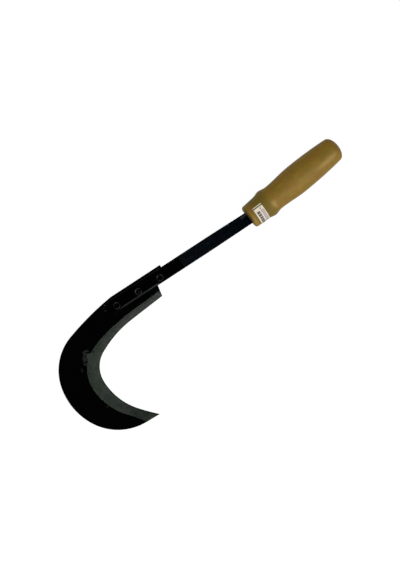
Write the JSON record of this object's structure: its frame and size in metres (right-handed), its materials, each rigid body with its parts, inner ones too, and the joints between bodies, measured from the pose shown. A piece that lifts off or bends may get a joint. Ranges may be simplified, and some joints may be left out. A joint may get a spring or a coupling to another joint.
{
  "type": "sickle",
  "caption": "Hand sickle with a hooked crescent blade, its inner edge ground to a bevel, riveted to a flat steel shank driven into a turned wooden handle.",
  "frame": {"origin": "on the flat underside of the blade plate, under the shank's centre line and level with the end of the shank's nose", "axes": "+X along the shank towards the handle, +Y towards the back of the blade, +Z out of the face that carries the shank"},
  "size_m": [0.4281, 0.1637, 0.0356],
  "materials": {
    "blade_steel": "black lacquer over carbon steel, with the bevel ground bare and dark grey",
    "shank_steel": "rolled steel bar with blue-black scale, dipped in black lacquer at the blade",
    "rivet_steel": "hammered heads under the black lacquer, worn at the rim",
    "handle_wood": "turned hardwood with an olive-tan varnish",
    "label_paper": "matt paper sticker"
  },
  "bodies": {
    "root": {"blade": "blade_steel", "shank": "shank_steel", "rivet_toe": "rivet_steel", "rivet_middle": "rivet_steel", "rivet_heel": "rivet_steel", "handle": "handle_wood", "price_label": "label_paper"}
  },
  "joints": []
}
